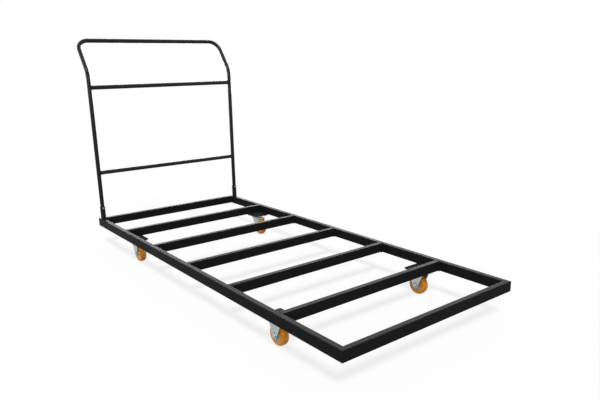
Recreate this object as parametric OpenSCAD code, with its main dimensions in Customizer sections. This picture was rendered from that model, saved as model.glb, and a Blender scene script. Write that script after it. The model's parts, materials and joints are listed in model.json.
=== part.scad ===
// Banquet table trolley: a low welded tube deck on four castors, with a tall push handle that lifts
// out of two sockets. The castors at the open end are fixed and those at the handle end swivel.
// X is across, Y runs along the length towards the handle, Z is up and the floor is z = 0.
// The origin lies on the floor under the middle of the whole trolley, handle included.

/* [Deck] */
// Length of the deck along Y
platform_l = 1850; // [1200:10:2400]
// Width of the deck along X
platform_w = 800; // [600:5:1000]
// Width of the rectangular deck tube
tube_w = 22; // [18:1:30]
// Height of the rectangular deck tube
tube_h = 39; // [28:1:50]
// Wall of the rectangular deck tube
tube_wall = 1.5; // [1:0.1:3]
// Inner corner radius of the rectangular deck tube
tube_inner_r = 1; // [0.5:0.1:2]

/* [Castor mounting plates] */
// Thickness of a mounting plate
mount_t = 5; // [4:0.5:8]
// Border of a mounting plate round the castor's top plate
mount_border = 2; // [1:0.5:10]
// How far a mounting plate reaches under its long rail
mount_lap = 10; // [6:1:16]
// Corner radius of a mounting plate
mount_corner_r = 4; // [2:0.5:10]
// Distance from the deck's long side to a castor's middle plane
castor_inset = 56; // [50:1:90]
// How far a fixed castor is set back along its mounting plate, away from its slat
fixed_setback = 27; // [0:1:60]
// How far a fixed castor's mounting plate reaches under its slat
fixed_lap = 6; // [4:1:16]

/* [Castor wheels] */
// Diameter of a wheel over its tread
wheel_d = 80; // [70:1:125]
// Width of the tread
wheel_w = 28; // [22:1:40]
// Thickness of the tread from the hub to the running face
tread_t = 17; // [10:0.5:20]
// Radius of the tread's shoulders
tread_shoulder_r = 9; // [3:0.5:10]
// How far the hub's rim lies inside the tread's side face
hub_recess = 1.5; // [0.5:0.5:4]
// Depth of the hub's rim along the radius
hub_rim_t = 4.5; // [3:0.5:6]
// Thickness of the hub's web
hub_web_t = 10; // [6:1:16]
// Wall of the hub's boss round its bore
hub_boss_wall = 5; // [3:0.5:6]
// Number of ribs on each side of the hub's web
hub_ribs = 6; // [4:1:8]
// Thickness of a hub rib
hub_rib_t = 2.5; // [1.5:0.5:4]
// How far a hub rib stands back from the rim's face
hub_rib_recess = 3; // [2:0.5:6]

/* [Castor axles] */
// Diameter of an axle bolt
axle_d = 8; // [6:0.5:10]
// Wall of the bush that the wheel turns on
bush_wall = 2; // [1.5:0.25:3]
// Width across flats of the axle's head and nut, beyond the bolt's diameter
axle_head_lip = 5; // [4:0.5:6]
// Height of the axle's head
axle_head_h = 5.3; // [4:0.1:7]
// Height of the axle's nut
axle_nut_h = 6.5; // [5:0.1:8]
// Height of the locking collar on the axle's nut
axle_collar_h = 1.5; // [1:0.1:3]
// How far the axle's end stands out of its nut
axle_end = 1; // [0.5:0.1:3]

/* [Castor forks] */
// Thickness of the pressed fork sheet
fork_t = 3; // [2:0.25:4]
// Gap between the tread's side and a fork leg
fork_side_gap = 4.5; // [3:0.25:8]
// Gap between the tread and the crown of a swivel fork
fork_crown_gap = 9; // [6:0.5:16]
// Inner radius of the bend between a leg and the crown
fork_bend_r = 3; // [1:0.25:4]
// Radius of the rounded leg end round the axle
fork_eye_r = 14; // [9:0.5:16]
// Length of a fixed fork's leg where it meets the top plate
fixed_leg_l = 80; // [50:1:80]
// Trail: how far the axle of a swivel castor lies from its swivel axis
trail = 28; // [20:1:40]
// How far a swivel fork's leg reaches along the trail at the crown
swivel_leg_front = 40; // [30:1:50]
// How far a swivel fork's leg reaches against the trail at the crown
swivel_leg_rear = 22; // [18:1:30]

/* [Castor top plates and swivel heads] */
// Length of a castor's top plate along Y
top_plate_l = 84; // [82:1:140]
// Thickness of a castor's top plate
top_plate_t = 3; // [2:0.25:5]
// Distance from a screw's axis to the edge of the top plate
screw_edge = 8; // [7:0.5:14]
// Gap between the crown of a swivel fork and its top plate
race_gap = 6; // [5:0.25:7]
// Radius of the circle that the ball centres lie on
race_r = 16; // [15:0.5:18]
// Width of a ball race ring
race_w = 10; // [9:0.5:11]
// Diameter of a ball
ball_d = 5; // [4:0.1:5.5]
// Number of balls in a race
ball_count = 14; // [8:1:16]
// Diameter of the swivel head's disc
swivel_disc_d = 48; // [44:1:60]
// Diameter of the kingpin
kingpin_d = 10; // [8:0.5:12]
// Diameter of the kingpin's heads
kingpin_head_d = 18; // [15:0.5:20]
// Height of the kingpin's lower head
kingpin_head_h = 3.5; // [2:0.25:5]
// Height of the kingpin's upper head, sunk into the top plate
kingpin_top_h = 1.2; // [0.8:0.1:1.6]

/* [Castor screws] */
// Diameter of a castor screw
screw_d = 6; // [5:0.5:10]
// Width across flats of a castor screw's head, beyond the screw's diameter
screw_head_lip = 4; // [3:0.5:6]
// Height of a castor screw's head
screw_head_h = 4; // [3:0.1:7]
// Gap between a castor screw's head and the fork beside it
screw_head_gap = 1; // [0.5:0.1:4]

/* [Handle] */
// Outer diameter of the handle tube
handle_d = 20; // [16:0.5:30]
// Wall of the handle tube
handle_wall = 1.5; // [1:0.1:3]
// Distance from the handle's uprights to the deck's rear end
handle_inset = 42; // [14:1:120]
// Height of the lower rung's middle above the deck
lower_rung_h = 238; // [120:1:400]
// Height of the upper rung's middle above the deck
upper_rung_h = 650; // [450:1:660]
// Height above the deck at which the uprights bend back
bend_h = 717; // [705:1:1000]
// Length of straight tube that the bend takes on each side of its corner point
bend_run = 30; // [18:1:36]
// Length of the slope from the bend's corner point to the grip bar
slope_l = 190; // [150:5:300]
// Radius of the grip bar's corners on the tube's middle line
grip_corner_r = 55; // [30:1:90]

/* [Handle sockets] */
// Height of a socket above the deck
socket_h = 70; // [50:1:110]
// Wall of a socket
socket_wall = 2; // [1.5:0.1:3]
// Gap between the handle tube and the socket's bore
socket_gap = 0.5; // [0.3:0.05:0.8]
// Distance from a socket's top to its retaining screw's axis
socket_screw_drop = 10; // [8:0.5:30]
// Diameter of a retaining screw
socket_screw_d = 5; // [4:0.5:8]
// Diameter of a retaining screw's head, beyond the screw's diameter
socket_screw_lip = 4; // [3:0.5:6]
// Height of a retaining screw's head
socket_screw_head_h = 4; // [2:0.5:6]

/* [Hidden] */
$fn = 96;
// Overrun of every cut past the faces that it goes through
overrun = 1;
// Radial clearance of a running fit
run_gap = 0.05;
// Clearance between faces that pass each other without touching
pass_gap = 0.3;
// Clearance of a screw or bolt in its hole
hole_gap = 0.05;
// Root gap of a saddle-cut joint between two round tubes
root_gap = 0.1;
// Bond line between a hub and its tread
bond_gap = 0.05;
// Gap between a ball and its grooves
ball_gap = 0.15;
// Gap between the two rings of a ball race
ring_gap = 2.4;
// Number of cross slats, each a piece of its own
slat_count = 5;
// Flats of a hexagon head or nut, which is drawn as a circle with this many sides
hex_sides = 6;
// Share of the eye's radius at which the straight edges of a fork leg run into the eye
foot_share = 0.95;
// Share of the slope's length by which it goes back
slope_back_share = 0.6;
// Share of the slope's length by which it goes up
slope_rise_share = 0.8;

// Castor stack from the floor up
axle_z = wheel_d / 2;
crown_z0 = wheel_d + fork_crown_gap;
crown_z1 = crown_z0 + fork_t;
top_plate_z0 = crown_z1 + race_gap;
top_plate_z1 = top_plate_z0 + top_plate_t;
deck_z0 = top_plate_z1 + mount_t;
deck_z1 = deck_z0 + tube_h;

// Fork, screws and plates across the wheel
fork_inner_w = wheel_w + 2 * fork_side_gap;
fork_outer_w = fork_inner_w + 2 * fork_t;
screw_head_af = screw_d + screw_head_lip;
screw_head_r = screw_head_af / 2 / cos(180 / hex_sides);
screw_dx = fork_outer_w / 2 + screw_head_gap + screw_head_r;
screw_dy = top_plate_l / 2 - screw_edge;
top_plate_w = 2 * (screw_dx + screw_edge);

// Mounting plates, from under the rail to the border past the castor's top plate
mount_l = top_plate_l + 2 * mount_border;
mount_out = castor_inset - tube_w + mount_lap;
mount_in = top_plate_w / 2 + mount_border;
mount_w = mount_out + mount_in;

// Deck layout about its own middle
rail_x = (platform_w - tube_w) / 2;
slat_pitch = platform_l / (slat_count + 1);
slat_end_y = slat_pitch * (slat_count - 1) / 2;
castor_x = platform_w / 2 - castor_inset;
castor_y = slat_end_y + tube_w / 2 - mount_l / 2;

// Wheel and axle
bush_r0 = axle_d / 2 + hole_gap;
bush_r1 = bush_r0 + bush_wall;
hub_bore_r = bush_r1 + run_gap;
hub_boss_r = hub_bore_r + hub_boss_wall;
hub_r = wheel_d / 2 - tread_t;
tread_r0 = hub_r + bond_gap;
hub_rim_w = wheel_w - 2 * hub_recess;
hub_boss_w = fork_inner_w - 2 * pass_gap;
hub_rib_w = hub_rim_w - 2 * hub_rib_recess;
axle_head_af = axle_d + axle_head_lip;

// Swivel head
race_z = (crown_z1 + top_plate_z0) / 2;
groove_r = ball_d / 2 + ball_gap;
ring_h = (race_gap - ring_gap) / 2;

// Handle
handle_r = handle_d / 2;
handle_x = rail_x;
handle_y = platform_l / 2 - handle_inset;
socket_r0 = handle_r + socket_gap;
socket_r1 = socket_r0 + socket_wall;
socket_screw_z = deck_z1 + socket_h - socket_screw_drop;
bend_deg = atan2(slope_back_share, slope_rise_share);
bend_r = bend_run / tan(bend_deg / 2);
bend_z = bend_h - bend_run;

// Shift that brings the middle of the whole trolley to the origin
rear_reach = handle_y + slope_l * slope_back_share + handle_r;
middle_y = (rear_reach - platform_l / 2) / 2;

coat = "#232325";
zinc = "#b7bcc1";
amber = "#c9791c";
grey = "#8d9192";

// Moves a piece from the deck's middle to the trolley's middle
module place() {
    translate([0, -middle_y, 0])
        children();
}

// Puts a castor's piece on the castor's own upright axis; the fixed castors are set back
module at_castor(sx, sy) {
    place()
        translate([sx * castor_x, sy > 0 ? castor_y : fixed_setback - castor_y, 0])
            children();
}

// Puts a wheel's piece on its axle, with Z turned inwards; only the rear castors trail
module at_axle(sx, sy) {
    at_castor(sx, sy)
        translate([0, sy > 0 ? -trail : 0, axle_z])
            rotate([90, 0, -sx * 90])
                children();
}

// Puts a piece on each of the four screw axes of a castor
module at_screws() {
    for (sx = [-1, 1], sy = [-1, 1])
        translate([sx * screw_dx, sy * screw_dy, 0])
            children();
}

// Rectangle with round corners, about its middle
module rounded_rect(w, h, r) {
    square([w - 2 * r, h], center = true);
    square([w, h - 2 * r], center = true);
    for (sx = [-1, 1], sy = [-1, 1])
        translate([sx * (w / 2 - r), sy * (h / 2 - r)])
            circle(r);
}

// Cross-section of the deck tube, standing on edge
module tube_section() {
    difference() {
        rounded_rect(tube_w, tube_h, tube_inner_r + tube_wall);
        rounded_rect(tube_w - 2 * tube_wall, tube_h - 2 * tube_wall, tube_inner_r);
    }
}

// Cross-section of a round tube
module ring(r, wall) {
    difference() {
        circle(r);
        circle(r - wall);
    }
}

// Straight deck tube along Y, about its middle, with its top at the deck's height
module deck_tube(l) {
    translate([0, l / 2, deck_z0 + tube_h / 2])
        rotate([90, 0, 0])
            linear_extrude(l)
                tube_section();
}

// Prism that cuts one side of the deck's frame at its two mitres
module mitre_prism(l, w) {
    translate([0, 0, deck_z0 - overrun])
        linear_extrude(tube_h + 2 * overrun)
            polygon([
                [w / 2, -l / 2],
                [w / 2, l / 2],
                [w / 2 - tube_w, l / 2 - tube_w],
                [w / 2 - tube_w, -l / 2 + tube_w]
            ]);
}

module long_rail(side) {
    color(coat)
        place()
            rotate([0, 0, side > 0 ? 0 : 180])
                intersection() {
                    translate([rail_x, 0, 0])
                        deck_tube(platform_l);
                    mitre_prism(platform_l, platform_w);
                }
}

module end_rail(side) {
    color(coat)
        place()
            rotate([0, 0, side > 0 ? 90 : -90])
                intersection() {
                    translate([(platform_l - tube_w) / 2, 0, 0])
                        deck_tube(platform_w);
                    mitre_prism(platform_w, platform_l);
                }
}

module slat(i) {
    color(coat)
        place()
            translate([0, (i - 1) * slat_pitch - slat_end_y, 0])
                rotate([0, 0, 90])
                    deck_tube(platform_w - 2 * tube_w);
}

// Mounting plate that ends flush with its slat's outer face
module mount_plate(sx, sy) {
    setback = sy > 0 ? 0 : max(0, fixed_setback - tube_w + fixed_lap);
    color(coat)
        at_castor(sx, sy)
            difference() {
                translate([sx * (mount_out - mount_in) / 2, -setback / 2, top_plate_z1])
                    linear_extrude(mount_t)
                        rounded_rect(mount_w, mount_l + setback, mount_corner_r);
                at_screws()
                    translate([0, 0, top_plate_z1 - overrun])
                        cylinder(h = mount_t + 2 * overrun, r = screw_d / 2 + hole_gap);
            }
}

// Hexagon screws from below, whose ends stop short of the mounting plates' tops
module castor_screws() {
    color(zinc)
        for (sx = [-1, 1], sy = [-1, 1])
            at_castor(sx, sy)
                at_screws() {
                    translate([0, 0, top_plate_z0 - screw_head_h])
                        cylinder(h = screw_head_h, r = screw_head_r, $fn = hex_sides);
                    translate([0, 0, top_plate_z0])
                        cylinder(h = top_plate_t + mount_t - pass_gap, r = screw_d / 2);
                }
}

// Flat castor top plate with its four screw holes
module top_plate_blank() {
    difference() {
        translate([0, 0, top_plate_z0])
            linear_extrude(top_plate_t)
                rounded_rect(top_plate_w, top_plate_l, mount_corner_r);
        at_screws()
            translate([0, 0, top_plate_z0 - overrun])
                cylinder(h = top_plate_t + 2 * overrun, r = screw_d / 2 + hole_gap);
    }
}

// Side outline of a fork leg in Y and Z, from the edge at height z down to the round end at the axle
module leg_outline(front, rear, z, axle_y) {
    foot = fork_eye_r * foot_share;
    polygon([
        [-front, z],
        [axle_y - foot, axle_z],
        [axle_y + foot, axle_z],
        [rear, z]
    ]);
    translate([axle_y, axle_z])
        circle(fork_eye_r);
}

// Cross-section of a fork in X and Z: an upturned channel with its web's top at height z
module fork_channel(z) {
    difference() {
        translate([-fork_outer_w / 2, 0])
            square([fork_outer_w, z]);
        translate([-fork_inner_w / 2, -overrun])
            square([fork_inner_w, z - fork_t - fork_bend_r + overrun]);
        translate([-fork_inner_w / 2 + fork_bend_r, -overrun])
            square([fork_inner_w - 2 * fork_bend_r, z - fork_t + overrun]);
        for (s = [-1, 1])
            translate([s * (fork_inner_w / 2 - fork_bend_r), z - fork_t - fork_bend_r])
                circle(fork_bend_r);
    }
}

// Bent sheet of a fork with its axle hole, under a web whose top is at height z
module fork_sheet(front, rear, z, axle_y) {
    y0 = min(-front, axle_y - fork_eye_r) - overrun;
    y1 = max(rear, axle_y + fork_eye_r) + overrun;
    difference() {
        intersection() {
            translate([0, y1, 0])
                rotate([90, 0, 0])
                    linear_extrude(y1 - y0)
                        fork_channel(z);
            translate([-fork_outer_w / 2 - overrun, 0, 0])
                rotate([90, 0, 90])
                    linear_extrude(fork_outer_w + 2 * overrun)
                        leg_outline(front, rear, z, axle_y);
        }
        translate([-fork_outer_w / 2 - overrun, axle_y, axle_z])
            rotate([0, 90, 0])
                cylinder(h = fork_outer_w + 2 * overrun, r = axle_d / 2 + hole_gap);
    }
}

module fixed_fork(sx) {
    color(zinc)
        at_castor(sx, -1) {
            fork_sheet(fixed_leg_l / 2, fixed_leg_l / 2, top_plate_z1, 0);
            top_plate_blank();
        }
}

// Groove that the balls run in
module race_groove() {
    translate([0, 0, race_z])
        rotate_extrude()
            translate([race_r, 0])
                circle(groove_r);
}

// Flat ring on either side of the balls, from height z
module race_ring(z) {
    translate([0, 0, z])
        linear_extrude(ring_h)
            ring(race_r + race_w / 2, race_w);
}

module swivel_top_plate(sx) {
    color(zinc)
        at_castor(sx, 1)
            difference() {
                union() {
                    top_plate_blank();
                    race_ring(top_plate_z0 - ring_h);
                }
                race_groove();
                translate([0, 0, top_plate_z0 - overrun])
                    cylinder(h = top_plate_t + 2 * overrun, r = kingpin_d / 2 + run_gap);
                translate([0, 0, top_plate_z1 - kingpin_top_h])
                    cylinder(h = kingpin_top_h + overrun, r = kingpin_head_d / 2 + run_gap);
            }
}

module swivel_balls(sx) {
    color(zinc)
        at_castor(sx, 1)
            for (i = [0 : ball_count - 1])
                rotate([0, 0, i * 360 / ball_count])
                    translate([race_r, 0, race_z])
                        sphere(d = ball_d);
}

// Rivet that holds the fork under the top plate, with a head at each end
module kingpin(sx) {
    color(zinc)
        at_castor(sx, 1) {
            translate([0, 0, crown_z0 - pass_gap - kingpin_head_h])
                cylinder(h = kingpin_head_h, d = kingpin_head_d);
            translate([0, 0, crown_z0 - pass_gap])
                cylinder(h = top_plate_z1 - kingpin_top_h - crown_z0 + pass_gap, d = kingpin_d);
            translate([0, 0, top_plate_z1 - kingpin_top_h])
                cylinder(h = kingpin_top_h, d = kingpin_head_d);
        }
}

module swivel_fork(sx) {
    color(zinc)
        at_castor(sx, 1)
            difference() {
                union() {
                    fork_sheet(swivel_leg_front, swivel_leg_rear, crown_z1, -trail);
                    translate([0, 0, crown_z0])
                        cylinder(h = fork_t, d = swivel_disc_d);
                    race_ring(crown_z1);
                }
                race_groove();
                translate([0, 0, crown_z0 - overrun])
                    cylinder(h = fork_t + 2 * overrun, r = kingpin_d / 2 + run_gap);
            }
}

module bush(sx, sy) {
    color(zinc)
        at_axle(sx, sy)
            translate([0, 0, -fork_inner_w / 2])
                linear_extrude(fork_inner_w)
                    ring(bush_r1, bush_wall);
}

module axle(sx, sy) {
    color(zinc)
        at_axle(sx, sy) {
            translate([0, 0, -fork_outer_w / 2 - axle_head_h])
                cylinder(h = axle_head_h, r = axle_head_af / 2 / cos(180 / hex_sides), $fn = hex_sides);
            translate([0, 0, -fork_outer_w / 2])
                cylinder(h = fork_outer_w + axle_nut_h + axle_collar_h + axle_end, d = axle_d);
        }
}

// Hexagon nut with a round locking collar
module axle_nut(sx, sy) {
    color(zinc)
        at_axle(sx, sy)
            difference() {
                translate([0, 0, fork_outer_w / 2]) {
                    cylinder(h = axle_nut_h, r = axle_head_af / 2 / cos(180 / hex_sides), $fn = hex_sides);
                    translate([0, 0, axle_nut_h])
                        cylinder(h = axle_collar_h, d = axle_head_af);
                }
                translate([0, 0, fork_outer_w / 2 - overrun])
                    cylinder(h = axle_nut_h + axle_collar_h + 2 * overrun, r = axle_d / 2 + hole_gap);
            }
}

// Hub with a boss, a web, ribs on both sides and a rim that carries the tread
module hub(sx, sy) {
    color(grey)
        at_axle(sx, sy)
            difference() {
                union() {
                    cylinder(h = hub_boss_w, r = hub_boss_r, center = true);
                    cylinder(h = hub_web_t, r = hub_r, center = true);
                    translate([0, 0, -hub_rim_w / 2])
                        linear_extrude(hub_rim_w)
                            ring(hub_r, hub_rim_t);
                    for (i = [0 : hub_ribs - 1])
                        rotate([0, 0, i * 360 / hub_ribs])
                            translate([0, -hub_rib_t / 2, -hub_rib_w / 2])
                                cube([hub_r - hub_rim_t / 2, hub_rib_t, hub_rib_w]);
                }
                cylinder(h = hub_boss_w + 2 * overrun, r = hub_bore_r, center = true);
            }
}

// Tread: a ring bonded on the hub, with rounded shoulders
module tread(sx, sy) {
    shoulder_z = wheel_w / 2 - tread_shoulder_r;
    shoulder_x = wheel_d / 2 - tread_shoulder_r;
    color(amber)
        at_axle(sx, sy)
            rotate_extrude()
                intersection() {
                    translate([tread_r0, -wheel_w / 2])
                        square([wheel_d / 2 - tread_r0, wheel_w]);
                    union() {
                        translate([0, -wheel_w / 2])
                            square([shoulder_x, wheel_w]);
                        translate([0, -shoulder_z])
                            square([wheel_d / 2, 2 * shoulder_z]);
                        for (s = [-1, 1])
                            translate([shoulder_x, s * shoulder_z])
                                circle(tread_shoulder_r);
                    }
                }
}

module socket(side) {
    color(coat)
        place()
            translate([side * handle_x, handle_y, 0])
                difference() {
                    translate([0, 0, deck_z1])
                        linear_extrude(socket_h)
                            ring(socket_r1, socket_wall);
                    translate([0, 0, socket_screw_z])
                        rotate([90, 0, 0])
                            cylinder(h = socket_r1 + overrun, r = socket_screw_d / 2 + hole_gap);
                }
}

// Retaining screws through the sockets' walls, each with its end just clear of the handle tube
module socket_screws() {
    color(zinc)
        place()
            for (side = [-1, 1])
                translate([side * handle_x, handle_y, socket_screw_z])
                    rotate([90, 0, 0]) {
                        translate([0, 0, handle_r + pass_gap])
                            cylinder(h = socket_r1 - handle_r - pass_gap, d = socket_screw_d);
                        translate([0, 0, socket_r1])
                            cylinder(h = socket_screw_head_h, d = socket_screw_d + socket_screw_lip);
                    }
}

// One side of the handle's hoop: upright, bend, slope and corner; the bend is a quarter ring cut off
// square to the slope
module hoop_side() {
    translate([handle_x, 0, pass_gap])
        linear_extrude(bend_z - pass_gap)
            ring(handle_r, handle_wall);
    translate([handle_x, bend_r, bend_z])
        difference() {
            rotate([90, 0, -90])
                rotate_extrude(angle = 90)
                    translate([bend_r, 0])
                        ring(handle_r, handle_wall);
            rotate([-bend_deg, 0, 0])
                translate([-handle_d, -2 * bend_r, 0])
                    cube([2 * handle_d, 4 * bend_r, 2 * bend_r]);
        }
    translate([0, 0, bend_h])
        rotate([-bend_deg, 0, 0]) {
            translate([handle_x, 0, bend_run])
                linear_extrude(slope_l - grip_corner_r - bend_run)
                    ring(handle_r, handle_wall);
            translate([handle_x - grip_corner_r, 0, slope_l - grip_corner_r])
                rotate([90, 0, 0])
                    rotate_extrude(angle = 90)
                        translate([grip_corner_r, 0])
                            ring(handle_r, handle_wall);
        }
}

module handle_tube() {
    color(coat)
        place()
            translate([0, handle_y, deck_z1]) {
                hoop_side();
                mirror([1, 0, 0])
                    hoop_side();
                translate([0, 0, bend_h])
                    rotate([-bend_deg, 0, 0])
                        translate([-handle_x + grip_corner_r, 0, slope_l])
                            rotate([0, 90, 0])
                                linear_extrude(2 * (handle_x - grip_corner_r))
                                    ring(handle_r, handle_wall);
            }
}

// Rung between the uprights at height h above the deck, saddle-cut at both ends
module rung(h) {
    color(coat)
        place()
            translate([0, handle_y, deck_z1 + h])
                difference() {
                    translate([-handle_x, 0, 0])
                        rotate([0, 90, 0])
                            linear_extrude(2 * handle_x)
                                ring(handle_r, handle_wall);
                    for (s = [-1, 1])
                        translate([s * handle_x, 0, -handle_r - overrun])
                            cylinder(h = handle_d + 2 * overrun, r = handle_r + root_gap);
                }
}

long_rail(-1);  // left_rail
long_rail(1);  // right_rail
end_rail(-1);  // front_rail
end_rail(1);  // rear_rail
slat(1);  // slat_1
slat(2);  // slat_2
slat(3);  // slat_3
slat(4);  // slat_4
slat(5);  // slat_5
mount_plate(-1, -1);  // front_left_mount
mount_plate(1, -1);  // front_right_mount
mount_plate(-1, 1);  // rear_left_mount
mount_plate(1, 1);  // rear_right_mount
castor_screws();
fixed_fork(-1);  // front_left_fork
bush(-1, -1);  // front_left_bush
axle(-1, -1);  // front_left_axle
axle_nut(-1, -1);  // front_left_nut
hub(-1, -1);  // front_left_hub
tread(-1, -1);  // front_left_tread
fixed_fork(1);  // front_right_fork
bush(1, -1);  // front_right_bush
axle(1, -1);  // front_right_axle
axle_nut(1, -1);  // front_right_nut
hub(1, -1);  // front_right_hub
tread(1, -1);  // front_right_tread
swivel_top_plate(-1);  // rear_left_top_plate
swivel_balls(-1);  // rear_left_balls
kingpin(-1);  // rear_left_kingpin
swivel_fork(-1);  // rear_left_fork
bush(-1, 1);  // rear_left_bush
axle(-1, 1);  // rear_left_axle
axle_nut(-1, 1);  // rear_left_nut
hub(-1, 1);  // rear_left_hub
tread(-1, 1);  // rear_left_tread
swivel_top_plate(1);  // rear_right_top_plate
swivel_balls(1);  // rear_right_balls
kingpin(1);  // rear_right_kingpin
swivel_fork(1);  // rear_right_fork
bush(1, 1);  // rear_right_bush
axle(1, 1);  // rear_right_axle
axle_nut(1, 1);  // rear_right_nut
hub(1, 1);  // rear_right_hub
tread(1, 1);  // rear_right_tread
socket(-1);  // socket_left
socket(1);  // socket_right
socket_screws();
handle_tube();
rung(lower_rung_h);  // lower_rung
rung(upper_rung_h);  // upper_rung
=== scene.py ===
import json
import math

import bpy
import numpy as np
from bpy.props import FloatProperty, FloatVectorProperty, IntProperty, PointerProperty
from mathutils import Matrix, Vector


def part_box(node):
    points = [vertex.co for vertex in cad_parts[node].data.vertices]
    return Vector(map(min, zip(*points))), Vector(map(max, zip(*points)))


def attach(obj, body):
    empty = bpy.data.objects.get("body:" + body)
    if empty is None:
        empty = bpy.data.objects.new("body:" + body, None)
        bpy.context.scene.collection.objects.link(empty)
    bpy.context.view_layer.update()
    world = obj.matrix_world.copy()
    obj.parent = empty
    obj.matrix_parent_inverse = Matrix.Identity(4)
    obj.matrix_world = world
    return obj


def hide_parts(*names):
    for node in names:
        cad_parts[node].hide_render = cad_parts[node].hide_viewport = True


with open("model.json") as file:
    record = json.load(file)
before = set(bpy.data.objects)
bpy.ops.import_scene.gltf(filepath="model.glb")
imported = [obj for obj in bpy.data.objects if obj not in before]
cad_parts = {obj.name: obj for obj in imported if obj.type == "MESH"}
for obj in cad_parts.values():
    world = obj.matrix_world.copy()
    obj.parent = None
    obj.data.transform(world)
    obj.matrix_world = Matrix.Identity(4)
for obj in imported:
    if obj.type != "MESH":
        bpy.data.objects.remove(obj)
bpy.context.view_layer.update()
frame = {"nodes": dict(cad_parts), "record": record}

bl_info = {
    "name": "Banquet table trolley",
    "version": (1, 0, 0),
    "blender": (4, 5, 0),
    "location": "View3D > Sidebar > Trolley",
    "description": "Dresses a low tube-frame trolley with its welds, castors, push handle and finishes",
    "category": "Object",
}

CASTORS = ("front_left", "front_right", "rear_left", "rear_right")
SLATS = ("slat_1", "slat_2", "slat_3", "slat_4", "slat_5")
RUNGS = ("lower_rung", "upper_rung")
SOCKETS = ("socket_left", "socket_right")
ALONG_X, _, ALONG_Z = np.eye(3)

# Coats of the deck and of the round tubes: how far up a face looks where dust and painted sheen start
# and where they are full, least and most roughness, shine, and strength of the orange peel
DECK_COAT = ((0.05, 0.5), (0.38, 0.48), 0.014, 0.03)
TUBE_COAT = ((0.35, 1.0), (0.17, 0.24), 0.17, 0.015)

# Lamps, named as their power settings: place, point that they look at, width and height
LAMPS = (
    ("back_light", (2.83, 3.5, 1.15), (0, 0.43, 1.15), 5.4, 1.2),
    ("rim_light", (1.9, 2.1, 3.1), (0, 0.5, 0.5), 2.2, 1.8),
    ("side_light", (-2.9, 2.6, 1.5), (0, 0.5, 0.5), 2.2, 2.2),
    ("front_light", (-2.6, -2.9, 1.5), (0, 0, 0.1), 2.4, 2.0),
)

# Sockets of a colour mix node: its two colours and its result
MIX_FIRST, MIX_SECOND, MIX_RESULT = 6, 7, 2


# Sizes taken from the frame

def low_high(node):
    """Lowest and highest corner of a node as arrays."""
    low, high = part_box(node)
    return np.array(low), np.array(high)


def middle(node):
    """Middle of a node's box."""
    low, high = low_high(node)
    return (low + high) / 2


def half_size(node):
    """Half of a node's size along X, Y and Z."""
    low, high = low_high(node)
    return (high - low) / 2


def swivels(castor):
    """True for the castors whose forks turn."""
    return castor.startswith("rear")


def fork_body(castor):
    """Body that a castor's fork, axle and nut ride on."""
    return f"{castor}_swivel" if swivels(castor) else "chassis"


# Settings that a user would change

def colour(name, description, *shade):
    """Colour setting from red, green and blue."""
    return FloatVectorProperty(name=name, description=description, subtype="COLOR", size=4, min=0, max=1,
                               default=(*shade, 1))


def length(name, description, low, high, default):
    """Length setting in metres."""
    return FloatProperty(name=name, description=description, unit="LENGTH", min=low, max=high,
                         default=default)


def number(name, description, default, low=0, high=1):
    """Setting without a unit."""
    return FloatProperty(name=name, description=description, min=low, max=high, default=default)


def angle(name, description, turn):
    """Angle setting, from degrees."""
    return FloatProperty(name=name, description=description, subtype="ANGLE", default=math.radians(turn))


def power(name, description, watts):
    """Power setting of a lamp."""
    return FloatProperty(name=name, description=description, unit="POWER", min=0, default=watts)


class TrolleyColours(bpy.types.PropertyGroup):
    """Colours of the finishes"""
    coat: colour("Powder coat", "Colour of the black deck and plates", 0.0098, 0.0098, 0.0101)
    # Lighter coat on faces that look up: partly dust, partly painted sheen for the light on the tops
    coat_dust_and_sheen: colour("Powder coat, dusty", "Colour of the coat where a little dust has settled",
                      0.023, 0.023, 0.024)
    zinc: colour("Zinc plate", "Colour of the plated castor metal", 0.455, 0.478, 0.480)
    # Painted shade: dark sheet edges, a painted shadow round the axle heads and dimmed retaining screws
    painted_shade: colour("Soiled edges", "Colour of sheared edges and of the dirt round the axle heads",
                 0.030, 0.033, 0.036)
    zinc_dull: colour("Zinc plate, dull", "Colour of the duller crystals in the plating", 0.32, 0.342, 0.348)
    tread: colour("Tread", "Colour of the amber polyurethane", 0.73, 0.295, 0.021)
    tread_deep: colour("Tread, deep", "Colour of the denser clouds in the polyurethane", 0.61, 0.210, 0.012)
    hub_front: colour("Front hubs", "Colour of the fixed castors' nylon hubs", 0.40, 0.44, 0.42)
    hub_rear: colour("Rear hubs", "Colour of the swivel castors' nylon hubs", 0.72, 0.69, 0.58)
    tube_coat: colour("Handle coat", "Colour of the smoother black coat on the round tubes",
                      0.0072, 0.0072, 0.0074)
    # Lighter handle coat on faces that look up: partly dust, partly painted sheen for the light on the tops
    tube_dust_and_sheen: colour("Handle coat, dusty", "Colour of the handle's coat where a little dust has settled",
                      0.060, 0.060, 0.061)
    floor: colour("Floor", "Colour of the studio floor", 0.31, 0.31, 0.31)


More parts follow.
